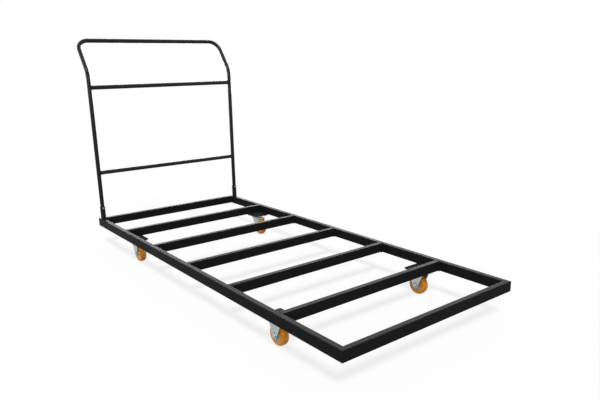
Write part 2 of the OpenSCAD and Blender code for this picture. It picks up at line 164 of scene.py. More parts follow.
class TrolleySizes(bpy.types.PropertyGroup):
    """Sizes of the details that the looks add"""
    bead: length("Weld size", "Radius of a weld bead on the deck tubes", 0.001, 0.005, 0.0026)
    handle_bead: length("Handle weld size", "Radius of a weld bead where a rung meets an upright",
                        0.001, 0.004, 0.0019)
    bead_pitch: length("Weld ripple", "Distance from one ripple of a weld to the next", 0.001, 0.006, 0.0024)
    shoulder: length("Tread shoulder", "Radius of a tread's shoulders", 0.003, 0.010, 0.009)
    hub_rim: length("Hub rim", "Depth of a hub's rim along the radius", 0.003, 0.006, 0.0045)
    hub_ribs: IntProperty(name="Hub ribs", description="Number of ribs on each side of a hub",
                          min=4, max=8, default=6)
    sheet: length("Fork sheet", "Thickness of the pressed fork sheet", 0.002, 0.004, 0.003)
    eye: length("Fork eye", "Radius of a fork leg's round end", 0.009, 0.016, 0.014)
    lip: length("Fork lip", "How far a fork leg's pressed edges roll in towards the wheel", 0, 0.003, 0.0018)
    tube_segments: IntProperty(name="Tube segments", description="Number of faces round the handle tube",
                               min=16, max=96, default=48)


class TrolleyStudio(bpy.types.PropertyGroup):
    """Light and camera"""
    lens: number("Lens", "Focal length of the camera in millimetres", 34.885, 10, 200)
    camera_at: FloatVectorProperty(
        name="Camera place", description="Where the camera stands",
        subtype="TRANSLATION", unit="LENGTH", size=3, default=(-1.35921, -2.01825, 0.89955))
    heading: angle("Heading", "Turn of the camera about the upright axis", -37.96)
    dip: angle("Dip", "How far the camera looks down", 15.69)
    roll: angle("Roll", "Turn of the camera about its line of sight", -0.92)
    rise: number("Shift", "Upward shift of the lens as a share of the picture's width", 25 / 600, -0.2, 0.2)
    key_light: number("Key light", "Strength of the light that casts the shadow", 1.8, 0, 10)
    key_spread: angle("Key spread", "Angle that the key light spans, which softens its shadow", 14)
    key_from: FloatVectorProperty(
        name="Key direction", description="Direction that the key light comes from",
        subtype="DIRECTION", size=3, default=(-0.42, -0.65, 1.0))
    back_light: power("Back light", "Power of the low wide light behind the trolley", 218)
    rim_light: power("Rim light", "Power of the high light behind the handle", 58)
    side_light: power("Side light", "Power of the light on the left", 48)
    front_light: power("Front light", "Power of the soft light beside the camera", 60)
    fill: number("Fill", "Strength of the even light from all round", 0.28)
    floor_lift: number("Floor lift", "Glow that brings the lit floor to white", 0.77)


class TrolleySettings(bpy.types.PropertyGroup):
    """All settings of the trolley"""
    colours: PointerProperty(name="Colours", description="Colours of the finishes", type=TrolleyColours)
    sizes: PointerProperty(name="Sizes", description="Sizes of the added details", type=TrolleySizes)
    studio: PointerProperty(name="Studio", description="Light and camera", type=TrolleyStudio)


# Surfaces

def smooth_step(low, high, x):
    """0 below low, 1 above high, and 3t^2 - 2t^3 between, with t the share of the way."""
    t = np.clip((x - low) / (high - low), 0, 1)
    return t * t * (3 - 2 * t)


def full_turn(count):
    """Even angles round a full turn, without its end."""
    return np.linspace(0, 2 * np.pi, count, endpoint=False)


def degrees(start, end, count):
    """Even angles from start to end, both given in degrees."""
    return np.radians(np.linspace(start, end, count))


def track(*columns):
    """Rows of points from columns of coordinates, any of which can be one number for all rows."""
    return np.stack(np.broadcast_arrays(*columns), -1)


def enclosed(points, faces):
    """Volume inside a shell: a sixth of the sum of the triple products of each face's corner fans."""
    fans = [np.stack([np.broadcast_to(f[:, :1], f[:, 1:-1].shape), f[:, 1:-1], f[:, 2:]], -1).reshape(-1, 3)
            for f in faces]
    a, b, c = np.moveaxis((points - points.mean(0))[np.concatenate(fans)], 1, 0)
    return np.einsum("ij,ij->i", a, np.cross(b, c)).sum() / 6


def shell(grid, ring=False):
    """Grid of points [u, v] as quads, closed round v. The two ends of u get flat caps, unless u is a
    ring too. Faces are turned round where the enclosed volume comes out negative."""
    nu, nv = grid.shape[:2]
    index = np.arange(nu * nv).reshape(nu, nv)
    here = index if ring else index[:-1]
    there = np.roll(index, -1, 0) if ring else index[1:]
    quads = np.stack([here, there, np.roll(there, -1, 1), np.roll(here, -1, 1)], -1).reshape(-1, 4)
    faces = [quads] if ring else [quads, index[:1], index[-1:, ::-1]]
    points = grid.reshape(-1, 3)
    if enclosed(points, faces) < 0:
        faces = [f[:, ::-1] for f in faces]
    return points, faces


def spaced(path, step):
    """Points at even distances of about step along a path, by its running length."""
    fewest = 4
    run = np.concatenate([[0], np.cumsum(np.linalg.norm(np.diff(path, axis=0), axis=1))])
    even = np.linspace(0, run[-1], max(int(run[-1] / step), fewest))
    return np.stack([np.interp(even, run, path[:, k]) for k in range(3)], -1), even


def sweep(path, across, radius, sides, ring=False):
    """Circle carried along a path. T is the path's unit direction, N the part of across square to T
    and B = T x N, so point(u, v) = path(u) + radius(u) (N cos v + B sin v)."""
    along = np.roll(path, -1, 0) - np.roll(path, 1, 0) if ring else np.gradient(path, axis=0)
    t = along / np.linalg.norm(along, axis=1, keepdims=True)
    n = across - (t @ across)[:, None] * t
    n /= np.linalg.norm(n, axis=1, keepdims=True)
    b = np.cross(t, n)
    v = full_turn(sides)[None, :, None]
    r = np.broadcast_to(radius, len(path))[:, None, None]
    return path[:, None] + r * (n[:, None] * np.cos(v) + b[:, None] * np.sin(v))


def weld_bead(path, across, size, pitch, ring=False):
    """Weld bead: a swept circle whose radius is size times 1 - ripple + ripple |cos| of the running
    length, so that it shows overlapping pools, with ends rounded off as a quarter circle."""
    ripple, points_to_ripple, sides, tip = 0.12, 6, 12, 0.02
    line, run = spaced(np.asarray(path, float), pitch / points_to_ripple)
    if ring:
        line, run = line[:-1], run[:-1]
    radius = size * (1 - ripple + ripple * np.abs(np.cos(np.pi * run / pitch)))
    if not ring:
        near = np.clip(np.minimum(run, run[-1] - run) / size, tip, 1)
        radius = radius * np.sqrt(1 - (1 - near) ** 2)
    return shell(sweep(line, across, radius, sides, ring), ring)


def turned(centre, profile, segments, upright=False):
    """Surface of revolution through centre: a closed profile of (distance along the axis, radius) pairs
    carried round X, point = (a, r cos t, r sin t), or round Z, point = (r cos t, r sin t, a)."""
    t = full_turn(segments)
    a, r = np.asarray(profile, float).T[..., None]
    circle = (r * np.cos(t), r * np.sin(t))
    return centre + (track(*circle, a) if upright else track(a, *circle))


def arc(cx, cy, r, start, end, count):
    """Points of a circle's arc in a plane, with angles in degrees."""
    t = degrees(start, end, count)
    return np.stack([cx + r * np.cos(t), cy + r * np.sin(t)], -1)


def rounded_rectangle(w, h, r, count):
    """Loop of a rectangle with round corners, about its middle, as four quarter arcs in turn."""
    x, y = w / 2 - r, h / 2 - r
    return np.concatenate([arc(sx * x, sy * y, r, start, start + 90, count)
                           for sx, sy, start in ((1, 1, 0), (-1, 1, 90), (-1, -1, 180), (1, -1, 270))])


def slab(centre, w, h, corner, low, high, soft):
    """Flat plate with round corners and softened edges: its outline is drawn in by soft (1 - cos) as it
    rounds over at the top and the bottom."""
    edge_points, corner_points = 5, 8
    q = degrees(0, 90, edge_points)
    inset = np.concatenate([soft * (1 - np.sin(q)), soft * (1 - np.cos(q))])
    height = np.concatenate([low + soft * (1 - np.cos(q)), high - soft * (1 - np.sin(q))])
    share = 1 - 2 * inset[:, None, None] / np.array([w, h])
    flat = rounded_rectangle(w, h, corner, corner_points)[None] * share
    return shell(track(centre[0] + flat[..., 0], centre[1] + flat[..., 1], height[:, None]))


def hexagon(turn, flats):
    """Radius of a hexagon in direction turn: half its flats over the cosine of the angle to the
    nearest flat."""
    return flats / 2 / np.cos((turn + np.pi / 6) % (np.pi / 3) - np.pi / 6)


def stacked(rings, t):
    """Radii and heights of a stack of rings as two arrays, one row to a ring."""
    return [np.stack([np.broadcast_to(ring[k], t.shape) for ring in rings]) for k in (0, 1)]


def hex_head(base, axis, flats, height, flange, stub=0.0, stub_length=0.0):
    """Hexagon head or nut on a round flange: rings of the smaller of a hexagon and a circle, with the
    corners chamfered at 30 degrees. A stub of a bolt can stand out of its top."""
    chamfer_share, rim_share, neck_share, neck_rise, pole_share = 0.97, 0.14, 0.93, 1.7, 0.02
    groove_share, groove_rise, bevel_rise, tip_share = 1.06, 0.05, 0.15, 0.82
    chamfer_slope, segments = math.tan(math.radians(30)), 72
    t = full_turn(segments)
    hexa = hexagon(t, flats)
    top = chamfer_share * flats / 2
    chamfer = height - np.maximum(hexa - top, 0) * chamfer_slope
    rim, pole, end = rim_share * flange, pole_share * flats, height + stub_length
    rings = [(pole, 0), (flange, 0), (flange, rim), (np.maximum(hexa, neck_share * flange), neck_rise * rim),
             (hexa, 2 * rim), (hexa, chamfer), (top, height)]
    if stub > 0:
        rings += [(groove_share * stub, height), (stub, height + groove_rise * stub),
                  (stub, end - bevel_rise * stub), (tip_share * stub, end)]
    radius, along = stacked(rings + [(pole, rings[-1][1])], t)
    axis = np.array(axis, float)
    side = ALONG_X if axis[2] else ALONG_Z
    other = np.cross(axis, side)
    return shell(np.array(base) + along[..., None] * axis
                 + (radius * np.cos(t))[..., None] * side + (radius * np.sin(t))[..., None] * other)


def stand(name, data):
    """New object in the scene."""
    made = bpy.data.objects.new(name, data)
    bpy.context.scene.collection.objects.link(made)
    return made


def piece(name, shells, body, material, stands_for=(), crease=35):
    """One object from closed shells, at the origin, that rides on a body and may stand for CAD nodes."""
    starts = np.cumsum([0] + [len(p) for p, _ in shells])
    points = np.concatenate([p for p, _ in shells])
    faces = [row for (_, fs), start in zip(shells, starts) for f in fs for row in (f + start).tolist()]
    mesh = bpy.data.meshes.new(name)
    mesh.from_pydata(points.tolist(), [], faces)
    mesh.polygons.foreach_set("use_smooth", np.ones(len(faces), bool))
    mesh.set_sharp_from_angle(angle=math.radians(crease))
    mesh.materials.append(material)
    mesh.validate()
    made = stand(name, mesh)
    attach(made, body)
    if stands_for:
        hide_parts(*stands_for)
    return made


def mark(made, name, values):
    """Mask on the points of a piece, which its material reads by name."""
    made.data.attributes.new(name, "FLOAT", "POINT").data.foreach_set("value", values)


# Finishes

def feed(tree, value, socket):
    """Links an input to another node's output, or sets a plain value on it."""
    if isinstance(value, bpy.types.NodeSocket):
        tree.links.new(value, socket)
    else:
        socket.default_value = value


def add(tree, kind, values=None, **settings):
    """New shader node with its settings, and with values or links on its inputs."""
    made = tree.nodes.new(kind)
    for key, value in settings.items():
        setattr(made, key, value)
    for key, value in (values or {}).items():
        feed(tree, value, made.inputs[key])
    return made


def noise(tree, vector, scale, detail, roughness=0.5):
    """Height of a noise, from 0 to 1."""
    values = {"Vector": vector, "Scale": scale, "Detail": detail, "Roughness": roughness}
    return add(tree, "ShaderNodeTexNoise", values).outputs["Fac"]


def product(tree, first, second, plus=None):
    """Product of two values, with a third added where one is given."""
    if plus is None:
        return add(tree, "ShaderNodeMath", {0: first, 1: second}, operation="MULTIPLY").outputs[0]
    return add(tree, "ShaderNodeMath", {0: first, 1: second, 2: plus}, operation="MULTIPLY_ADD").outputs[0]


def share_of(tree, value, low, high, **settings):
    """0 where a value is low or less, 1 where it is high or more, and the share of the way between."""
    values = {"Value": value, "From Min": low, "From Max": high}
    return add(tree, "ShaderNodeMapRange", values, **settings).outputs["Result"]


def ranged(tree, value, low, high):
    """Value brought from 0..1 to low..high."""
    values = {"Value": value, "To Min": low, "To Max": high}
    return add(tree, "ShaderNodeMapRange", values).outputs["Result"]


def mixed(tree, mask, first, second):
    """Colour between two, by a mask."""
    values = {0: mask, MIX_FIRST: first, MIX_SECOND: second}
    return add(tree, "ShaderNodeMix", values, data_type="RGBA").outputs[MIX_RESULT]


def group(name, inputs, outputs):
    """Empty shader node group with named sockets, the outputs of its start and the inputs of its end."""
    tree = bpy.data.node_groups.new(name, "ShaderNodeTree")
    for label, default in inputs.items():
        kind = "NodeSocketFloat" if isinstance(default, float) else "NodeSocketVector"
        tree.interface.new_socket(label, in_out="INPUT", socket_type=kind).default_value = default
    for label in outputs:
        tree.interface.new_socket(label, in_out="OUTPUT", socket_type="NodeSocketFloat")
    return tree, tree.nodes.new("NodeGroupInput").outputs, tree.nodes.new("NodeGroupOutput").inputs


def peel_group():
    """Fine relief of a sprayed or moulded skin: two noises, one at three times the other's scale, added
    with a weight of a third, and a slow noise as a mask of where the skin varies."""
    name = "Skin relief"
    if name in bpy.data.node_groups:
        return bpy.data.node_groups[name]
    tree, given, end = group(name, {"Vector": (0, 0, 0), "Scale": 500.0, "Drift": 6.0}, ["Height", "Mask"])
    finer, weight = 3.0, 0.33
    coarse = noise(tree, given["Vector"], given["Scale"], 2.0)
    fine = noise(tree, given["Vector"], product(tree, given["Scale"], finer), 1.0)
    slow = noise(tree, given["Vector"], given["Drift"], 3.0, 0.55)
    feed(tree, product(tree, fine, weight, coarse), end["Height"])
    feed(tree, share_of(tree, slow, 0.32, 0.68), end["Mask"])
    return tree


def scuff_group():
    """Thin scuffs: a noise stretched along one axis and cut off high, so that only its crests are left."""
    name = "Scuffs"
    if name in bpy.data.node_groups:
        return bpy.data.node_groups[name]
    tree, given, end = group(name, {"Vector": (0, 0, 0), "Stretch": (40, 400, 400), "Cut": 0.62}, ["Mask"])
    crest_height = 0.1
    values = {0: given["Vector"], 1: given["Stretch"]}
    scaled = add(tree, "ShaderNodeVectorMath", values, operation="MULTIPLY")
    top = add(tree, "ShaderNodeMath", {0: given["Cut"], 1: crest_height}, operation="ADD")
    crests = noise(tree, scaled.outputs["Vector"], 1.0, 3.0, 0.6)
    feed(tree, share_of(tree, crests, given["Cut"], top.outputs[0]), end["Mask"])
    return tree


def placed(tree, kind, coordinates, **values):
    """Outputs of a node group put into a material, with its own values and the object's coordinates."""
    given = {"Vector": coordinates["Object"], **values}
    return add(tree, "ShaderNodeGroup", given, node_tree=kind).outputs


def blank(name):
    """Material with a shader, of which the inputs are given, and the object's coordinates."""
    material = bpy.data.materials.new(name)
    material.use_nodes = True
    tree = material.node_tree
    return material, tree, tree.nodes["Principled BSDF"].inputs, add(tree, "ShaderNodeTexCoord").outputs


def relief(tree, height, strength, depth):
    """Normal of a bump from a height, with its depth in metres."""
    values = {"Height": height, "Strength": strength, "Distance": depth}
    return add(tree, "ShaderNodeBump", values).outputs["Normal"]


def finish(tree, shader, **values):
    """Values and links on a shader's inputs, whose names have spaces for the underscores."""
    for key, value in values.items():
        feed(tree, value, shader[key.replace("_", " ")])


def powder_coat(colours, tube=False):
    """Black powder coat, satin on the deck and smoother on the round tubes: orange peel, slow changes of
    gloss, and a lighter colour that grows as a face looks up, partly a film of dust and partly painted
    sheen that stands in for the light falling on the tops."""
    name = "smooth_black_coat" if tube else "satin_black_coat"
    if name in bpy.data.materials:
        return bpy.data.materials[name]
    dust_and_sheen_range, roughness, shine, peel = TUBE_COAT if tube else DECK_COAT
    base_tone, dusty_sheen = (colours.tube_coat, colours.tube_dust_and_sheen) if tube else (colours.coat, colours.coat_dust_and_sheen)
    material, tree, shader, coordinates = blank(name)
    skin = placed(tree, peel_group(), coordinates, Scale=420.0, Drift=9.0)
    facing = add(tree, "ShaderNodeSeparateXYZ", {0: coordinates["Normal"]})
    # Faces that look up get the lighter colour: partly dust, partly painted sheen for the light on the tops
    up = share_of(tree, facing.outputs["Z"], *dust_and_sheen_range)
    dust_and_sheen = product(tree, up, ranged(tree, skin["Mask"], 0.25, 1.0))
    finish(tree, shader, Base_Color=mixed(tree, dust_and_sheen, base_tone, dusty_sheen),
           Roughness=ranged(tree, skin["Mask"], *roughness), Specular_IOR_Level=shine,
           Normal=relief(tree, skin["Height"], peel, 0.0004))
    return material


def zinc_plate(colours):
    """Bright zinc plate: small crystals of two greys, fine handling scuffs, uneven gloss, and painted shade
    from a point attribute: dark sheet edges for the shadowed gap between leg and hub, a painted shadow
    round the axle heads, and dimmed retaining screws."""
    if "bright_zinc" in bpy.data.materials:
        return bpy.data.materials["bright_zinc"]
    scuff_roughness = 0.14
    material, tree, shader, coordinates = blank("bright_zinc")
    skin = placed(tree, peel_group(), coordinates, Scale=700.0, Drift=45.0)
    scuffs = placed(tree, scuff_group(), coordinates, Stretch=(220.0, 1500.0, 160.0), Cut=0.60)
    crystals = add(tree, "ShaderNodeTexVoronoi", {"Vector": coordinates["Object"], "Scale": 420.0})
    grey = add(tree, "ShaderNodeSeparateColor", {0: crystals.outputs["Color"]})
    blend = product(tree, grey.outputs[0], ranged(tree, skin["Mask"], 0.35, 0.9))
    # Painted shade from the point attribute, mixed into the zinc towards the dark colour
    painted_shade_mask = add(tree, "ShaderNodeAttribute", attribute_name="painted_shade").outputs["Fac"]
    base_tone = mixed(tree, blend, colours.zinc, colours.zinc_dull)
    gloss = product(tree, scuffs["Mask"], scuff_roughness, ranged(tree, skin["Mask"], 0.24, 0.38))
    finish(tree, shader, Base_Color=mixed(tree, painted_shade_mask, base_tone, colours.painted_shade), Roughness=gloss, Metallic=1.0,
           Normal=relief(tree, skin["Height"], 0.12, 0.0002))
    return material


def polyurethane(colours):
    """Amber cast polyurethane: clouds of a deeper amber, a waxy skin and scuffs on the running face."""
    if "amber_polyurethane" in bpy.data.materials:
        return bpy.data.materials["amber_polyurethane"]
    scuff_roughness = 0.25
    material, tree, shader, coordinates = blank("amber_polyurethane")
    skin = placed(tree, peel_group(), coordinates, Scale=260.0, Drift=60.0)
    scuffs = placed(tree, scuff_group(), coordinates, Stretch=(900.0, 90.0, 90.0), Cut=0.58)
    running = add(tree, "ShaderNodeAttribute", attribute_name="running").outputs["Fac"]
    worn = product(tree, scuffs["Mask"], running)
    finish(tree, shader, Base_Color=mixed(tree, skin["Mask"], colours.tread, colours.tread_deep),
           Roughness=product(tree, worn, scuff_roughness, ranged(tree, skin["Mask"], 0.26, 0.38)),
           Specular_IOR_Level=0.18, Subsurface_Weight=0.12, Subsurface_Radius=(1.0, 0.35, 0.05),
           Subsurface_Scale=0.004, Normal=relief(tree, skin["Height"], 0.10, 0.0003))
    return material


def hub_nylon(name, tone):
    """Moulded nylon: a fine eroded grain and slow changes of tone."""
    if name in bpy.data.materials:
        return bpy.data.materials[name]
    shade = 0.72
    darker = [c * shade for c in tone[:3]] + [1]
    material, tree, shader, coordinates = blank(name)
    skin = placed(tree, peel_group(), coordinates, Scale=1400.0, Drift=80.0)
    finish(tree, shader, Base_Color=mixed(tree, ranged(tree, skin["Mask"], 0.0, 0.5), tone, darker),
           Roughness=ranged(tree, skin["Mask"], 0.42, 0.56),
           Normal=relief(tree, skin["Height"], 0.25, 0.0002))
    return material


# Pieces and their operators

class TrolleyOperator:
    """What all operators share: settings and undo"""
    bl_options = {"REGISTER", "UNDO"}

    def settings(self, context):
        """Colours and sizes of the trolley."""
        return context.scene.trolley.colours, context.scene.trolley.sizes


class TROLLEY_OT_finish(TrolleyOperator, bpy.types.Operator):
    """Coats the CAD nodes that keep their own shape"""
    bl_idname = "trolley.finish"
    bl_label = "Finish the frame"

    def execute(self, context):
        colours, _ = self.settings(context)
        kinds = {"powder_coat": powder_coat(colours), "zinc_plate": zinc_plate(colours),
                 "polyurethane": polyurethane(colours),
                 "hub_nylon": hub_nylon("grey_nylon", colours.hub_front)}
        for part in frame["record"]["subparts"]:
            held = frame["nodes"][part["node"]]
            tube = part["node"] in ("handle_tube", *RUNGS, *SOCKETS)
            kind = powder_coat(colours, tube=True) if tube else kinds[part["material_slot"]]
            if not held.material_slots:
                raise RuntimeError(f"{held.name} has no material slot")
            for place in held.material_slots:
                place.material = kind
        return {"FINISHED"}


class TROLLEY_OT_handle(TrolleyOperator, bpy.types.Operator):
    """Bends the push handle's hoop from one smooth tube"""
    bl_idname = "trolley.handle"
    bl_label = "Bend the handle"

    def execute(self, context):
        colours, sizes = self.settings(context)
        bend_radius, corner_radius = 0.090, 0.055
        back, rise = 0.6, 0.8
        upright_points, bend_points, slant_points, corner_points, grip_points = 40, 25, 12, 33, 30
        low, high = low_high("handle_tube")
        radius = half_size("lower_rung")[2]
        x = high[0] - radius
        foot_y, grip_y = low[1] + radius, high[1] - radius
        foot, top = low[2], high[2] - radius
        knee = top - (grip_y - foot_y) * rise / back
        bend = degrees(0, math.degrees(math.atan2(back, rise)), bend_points)
        run = bend_radius * math.tan(bend[-1] / 2)
        upright = track(x, foot_y, np.linspace(foot, knee - run, upright_points))
        bent = track(x, foot_y + bend_radius * (1 - np.cos(bend)), knee - run + bend_radius * np.sin(bend))
        slant_end = (grip_y - foot_y) / back - corner_radius
        t = np.linspace(run, slant_end, slant_points)
        slant = track(x, foot_y + t * back, knee + t * rise)
        turn = degrees(0, 90, corner_points)
        t = slant_end + corner_radius * np.sin(turn)
        corner = track(x - corner_radius * (1 - np.cos(turn)), foot_y + t * back, knee + t * rise)
        right = np.concatenate([upright, bent[1:], slant[1:], corner[1:]])
        left = right[::-1] * np.array([-1, 1, 1])
        grip = track(np.linspace(x - corner_radius, corner_radius - x, grip_points)[1:-1], grip_y, top)
        path = np.concatenate([right, grip, left])
        tube = sweep(path, np.array([0, -rise, back]), radius, sizes.tube_segments)
        piece("handle_hoop", [shell(tube)], "handle", powder_coat(colours, tube=True),
              ["handle_tube"])
        return {"FINISHED"}


def deck_weld_paths(size):
    """Paths round the three free sides of each slat's ends, and up the deck's inner corners."""
    (_, _, bottom), (inner, _, top) = low_high("left_rail")
    ends = (low_high("front_rail")[1][1], low_high("rear_rail")[0][1])
    clear_of_top = 1.3
    lip = top - size * clear_of_top
    for node in SLATS:
        low, high = low_high(node)
        for x in (low[0], high[0]):
            yield [[x, low[1], lip], [x, low[1], bottom], [x, high[1], bottom], [x, high[1], lip]]
    for x in (inner, -inner):
        for y in ends:
            yield [[x, y, bottom + size], [x, y, lip]]


def plate_weld_paths():
    """Paths along the two tubes that carry each castor's mounting plate."""
    margin = 0.006
    (_, _, bottom), (inner, _, _) = low_high("left_rail")
    for castor in CASTORS:
        low, high = low_high(f"{castor}_mount")
        slat_low, slat_high = low_high(SLATS[-1] if swivels(castor) else SLATS[0])
        y = slat_low[1] if swivels(castor) else slat_high[1]
        near, far = (low[0] + margin, -inner) if low[0] > 0 else (high[0] - margin, inner)
        start, end = (low[1] + margin, y) if swivels(castor) else (y, high[1] - margin)
        yield [[far, start, bottom], [far, end, bottom]]
        yield [[near, y, bottom], [far, y, bottom]]


def socket_weld_paths():
    """Two arcs round each socket's foot, where it stands on the rail."""
    starts, span, points = (48, 228), 84, 30
    for node in SOCKETS:
        x, y, _ = middle(node)
        for start in starts:
            ring = arc(x, y, half_size(node)[0], start, start + span, points)
            yield track(ring[:, 0], ring[:, 1], low_high(node)[0][2])


def rung_weld_paths():
    """Saddle curves where the rungs meet the uprights: two cylinders of radius r cross at
    x = upright - r |cos v|, y = r sin v, z = r cos v."""
    points = 181
    v = np.linspace(0, 2 * np.pi, points)
    for rung in RUNGS:
        r = half_size(rung)[2]
        _, y, z = middle(rung)
        x = low_high("handle_tube")[1][0] - r
        for side in (-1, 1):
            yield track(side * (x - r * np.abs(np.cos(v))), y + r * np.sin(v), z + r * np.cos(v))


class TROLLEY_OT_welds(TrolleyOperator, bpy.types.Operator):
    """Lays the weld beads of the deck, the mounting plates, the sockets and the rungs"""
    bl_idname = "trolley.welds"
    bl_label = "Lay the welds"

    def execute(self, context):
        colours, sizes = self.settings(context)
        coat = powder_coat(colours)
        size, pitch = sizes.bead, sizes.bead_pitch
        socket_size, rung_pitch = size * 0.9, pitch * 0.8
        for name, body, paths, *how in (
                ("deck_welds", "chassis", deck_weld_paths(size), ALONG_X, size, pitch),
                ("plate_welds", "chassis", plate_weld_paths(), ALONG_Z, size, pitch),
                ("socket_welds", "chassis", socket_weld_paths(), ALONG_Z, socket_size, pitch),
                ("rung_welds", "handle", rung_weld_paths(), ALONG_X, sizes.handle_bead, rung_pitch, True)):
            piece(name, [weld_bead(path, *how) for path in paths], body, coat)
        return {"FINISHED"}


def tread_profile(outer, inner, half, shoulder):
    """Closed section as (distance along the axis, radius) pairs: a side dished by sin^2 less a
    Gaussian groove, a quarter circle, and a running face with a Gaussian mould line in its middle."""
    edge, dish_depth, groove_depth, groove_at, groove_width = 0.0006, 0.0006, 0.0004, 0.003, 0.0005
    line_depth, line_width = 0.00015, 0.0004
    side_points, shoulder_points, face_points = 22, 22, 18
    side = np.linspace(inner + edge, outer - shoulder, side_points)
    share = (side - side[0]) / (side[-1] - side[0])
    dish = dish_depth * np.sin(np.pi * share) ** 2
    dish = dish - groove_depth * np.exp(-((side - inner - groove_at) / groove_width) ** 2)
    bow = arc(half - shoulder, outer - shoulder, shoulder, 0, 90, shoulder_points)[1:]
    run = np.linspace(half - shoulder, 0, face_points)[1:]
    face = track(run, outer - line_depth * np.exp(-(run / line_width) ** 2))
    right = np.concatenate([[[half - edge, inner]], track(half - np.maximum(dish, 0), side), bow, face])
    return np.concatenate([right, right[-2::-1] * np.array([-1, 1])])


class TROLLEY_OT_treads(TrolleyOperator, bpy.types.Operator):
    """Turns the four treads with their shoulders, dished sides and mould lines"""
    bl_idname = "trolley.treads"
    bl_label = "Turn the treads"

    def execute(self, context):
        colours, sizes = self.settings(context)
        bond, segments = 0.00005, 144
        wear_starts, wear_full = 0.003, 0.0005
        for castor in CASTORS:
            half, _, outer = half_size(f"{castor}_tread")
            inner = half_size(f"{castor}_hub")[2] + bond
            profile = tread_profile(outer, inner, half, sizes.shoulder)
            grid = turned(middle(f"{castor}_tread"), profile, segments)
            made = piece(f"{castor}_tyre", [shell(grid, ring=True)], f"{castor}_wheel",
                         polyurethane(colours), [f"{castor}_tread"], crease=50)
            worn = smooth_step(outer - wear_starts, outer - wear_full, profile[:, 1])
            mark(made, "running", np.repeat(worn, segments))
        return {"FINISHED"}


def hub_moulding(sizes, outer, boss_half, tread_half):
    """Both faces of a hub as a ring of rings. The face's height over radius and turn goes from the
    boss to the web, up to the ribs near each rib's middle line and up to the rim, by smooth steps."""
    mm = 0.001
    bore, boss, web_half, rib, blend, chamfer = 6.1 * mm, 11.1 * mm, 9 * mm, 1.25 * mm, 0.4 * mm, 0.4 * mm
    rim, rim_half = outer - sizes.hub_rim, tread_half - 1.5 * mm
    rib_half = rim_half - 1.6 * mm
    boss_in, boss_out = boss - 0.3 * mm, boss + 0.5 * mm
    rim_in, rim_out = rim - 0.6 * mm, rim + 0.2 * mm
    bands = ((bore, boss - 0.5 * mm, 4), (boss_in, boss_out, 6), (boss + mm, rim - 1.2 * mm, 7),
             (rim_in, rim_out, 6), (rim + 0.7 * mm, outer - 0.7 * mm, 4), (outer - 0.3 * mm, outer, 2))
    segments, wall_points = 240, 5
    r = np.concatenate([np.linspace(*band) for band in bands])[:, None]
    t = full_turn(segments)[None]
    step = 2 * np.pi / sizes.hub_ribs
    off = r * np.abs(np.sin((t + step / 2) % step - step / 2))
    height = web_half + (rib_half - web_half) * (1 - smooth_step(rib - blend, rib + blend, off))
    height = height + (rim_half - height) * smooth_step(rim_in, rim_out, r)
    height = height + (boss_half - height) * (1 - smooth_step(boss_in, boss_out, r))
    height = height - chamfer * smooth_step(outer - 0.5 * mm, outer, r)
    radius = np.broadcast_to(r, height.shape)
    bore_a = np.linspace(-boss_half, boss_half, wall_points)[1:-1, None] * np.ones_like(t)
    rim_a = np.linspace(rim_half - chamfer, chamfer - rim_half, wall_points)[1:-1, None] * np.ones_like(t)
    along = np.concatenate([bore_a, height, rim_a, -height[::-1]])
    radial = np.concatenate([np.full_like(bore_a, bore), radius, np.full_like(rim_a, outer),
                             radius[::-1]])
    return np.stack([along, radial * np.cos(t), radial * np.sin(t)], -1)


class TROLLEY_OT_hubs(TrolleyOperator, bpy.types.Operator):
    """Moulds the four hubs with a boss, ribs and a rim that run into each other"""
    bl_idname = "trolley.hubs"
    bl_label = "Mould the hubs"

    def execute(self, context):
        colours, sizes = self.settings(context)
        for castor in CASTORS:
            boss_half, _, outer = half_size(f"{castor}_hub")
            grid = hub_moulding(sizes, outer, boss_half, half_size(f"{castor}_tread")[0])
            tint = ("pale_nylon", colours.hub_rear) if swivels(castor) else ("grey_nylon", colours.hub_front)
            piece(f"{castor}_hub_moulding", [shell(grid + middle(f"{castor}_hub"), ring=True)],
                  f"{castor}_wheel", hub_nylon(*tint), [f"{castor}_hub"], crease=50)
        return {"FINISHED"}


def fork_line(h, eye, axle, top, half):
    """Line up one leg, round the crown's bend and over to the other leg, as columns of x, z and of
    the outward direction's x and z."""
    bend, foot_starts, foot_ends = 0.0045, 2, 110
    foot_points, leg_points, bend_points, web_points = 22, 20, 9, 6
    foot = axle[2] - eye * np.cos(degrees(foot_starts, foot_ends, foot_points))
    leg = np.concatenate([foot, np.linspace(foot[-1], top - h - bend, leg_points)[1:]])
    curve = degrees(0, 90, bend_points)[1:]
    side, out = np.sin(curve), np.cos(curve)
    web = np.linspace(half + h - bend, 0, web_points)[1:]
    run = np.concatenate([track(half + h, leg, 1.0, 0.0),
                          track(half + h - bend * (1 - out), top - h - bend + bend * side, out, side),
                          track(web, top - h, 0.0, 1.0)])
    return np.concatenate([run * np.array([-1, 1, -1, 1]), run[-2::-1]]).T[..., None]


def sheet_section():
    """Loop round the sheet's rounded section as its place along the flat, its place on the round edge
    and its side of the sheet, each from -1 to 1."""
    flat_points, edge_points = 33, 7
    a = np.sin(np.linspace(-np.pi / 2, np.pi / 2, flat_points))
    c = degrees(0, 180, edge_points)[1:-1]
    return np.concatenate([track(a, 0.0, 1.0), track(1.0, np.sin(c), np.cos(c)),
                           track(a[::-1], 0.0, -1.0), track(-1.0, -np.sin(c), -np.cos(c))]).T


